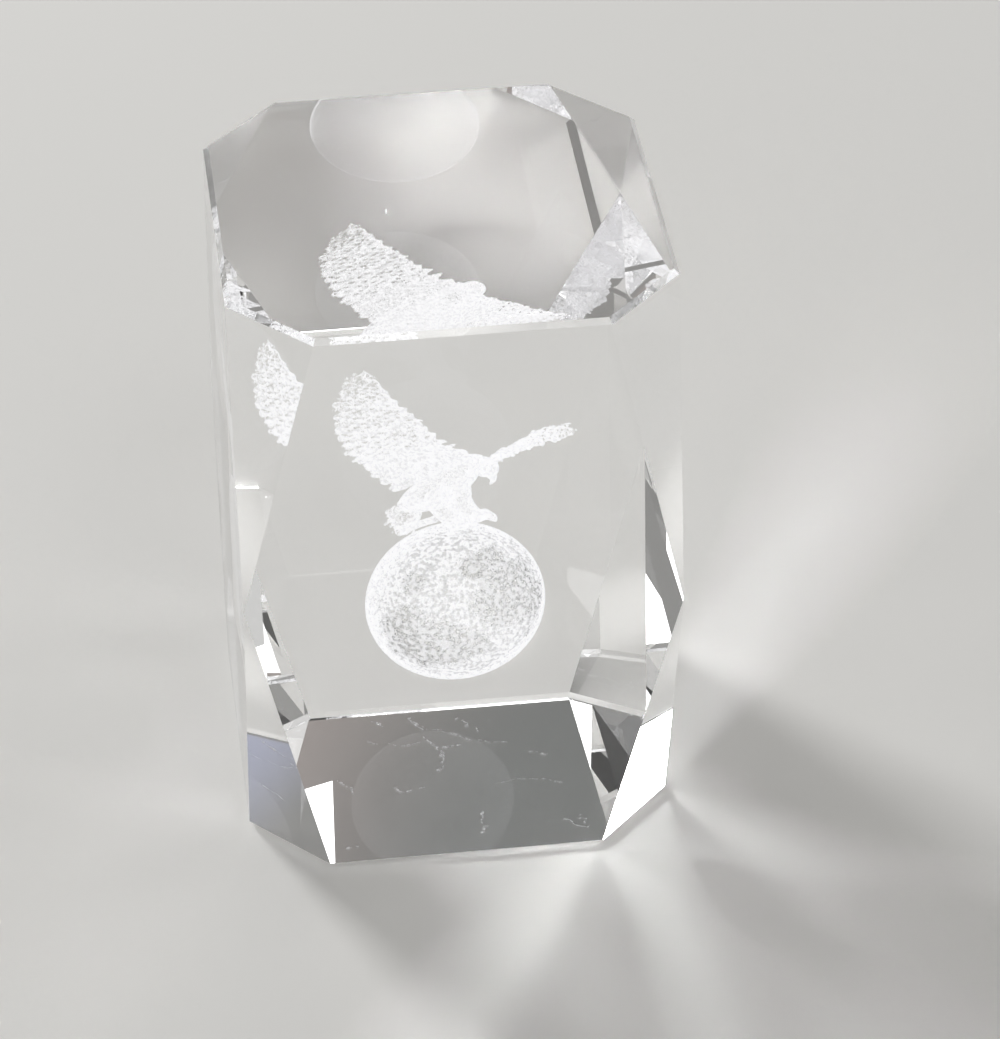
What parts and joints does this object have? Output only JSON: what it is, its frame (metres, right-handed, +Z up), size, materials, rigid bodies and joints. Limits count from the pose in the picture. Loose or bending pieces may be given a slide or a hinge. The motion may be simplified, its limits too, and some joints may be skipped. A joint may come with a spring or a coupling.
{
  "type": "laser engraved paperweight",
  "caption": "Upright block of clear optical crystal with tapering corner facets and an eagle landing on a globe engraved inside it; stands on its polished underside.",
  "frame": {"origin": "middle of the underside that the block stands on", "axes": "+Z up, the long way of the block; the front, which the eagle and globe are seen through, faces -Y; +X to the right as seen from the front"},
  "size_m": [0.05, 0.05, 0.075],
  "materials": {
    "crystal": "polished clear optical crystal, with a picture of fine white dots inside it"
  },
  "bodies": {
    "root": {"crystal_block": "crystal"}
  },
  "joints": []
}
